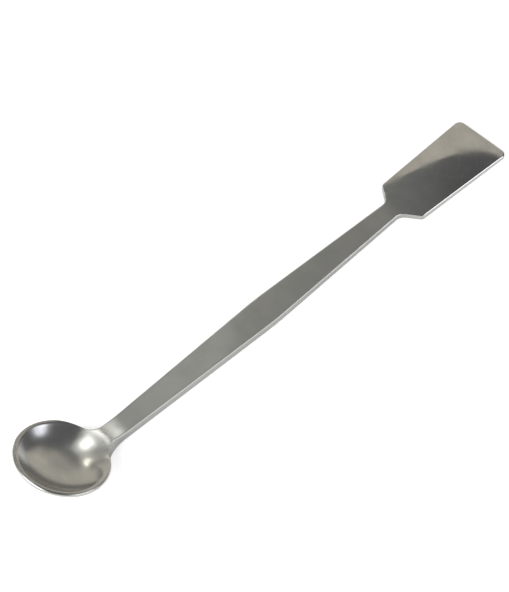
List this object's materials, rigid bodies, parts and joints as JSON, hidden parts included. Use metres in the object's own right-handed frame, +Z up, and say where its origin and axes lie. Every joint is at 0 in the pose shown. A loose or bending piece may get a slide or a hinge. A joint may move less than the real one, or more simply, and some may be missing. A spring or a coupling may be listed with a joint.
{
  "type": "laboratory spatula",
  "caption": "Double-ended one-piece laboratory spatula: a round spoon bowl tilted up on a flat swelling shank, and a flat blade that widens to a square tip.",
  "frame": {"origin": "bottom centre of the bounding box, on the surface that the tool lies on", "axes": "+X from the bowl to the blade's tip, +Z up out of the bowl's open side, +Y across the blade"},
  "size_m": [0.1796, 0.0256, 0.0156],
  "materials": {
    "steel": "satin shank, polished bowl and blade"
  },
  "bodies": {
    "root": {"spatula": "steel"}
  },
  "joints": []
}
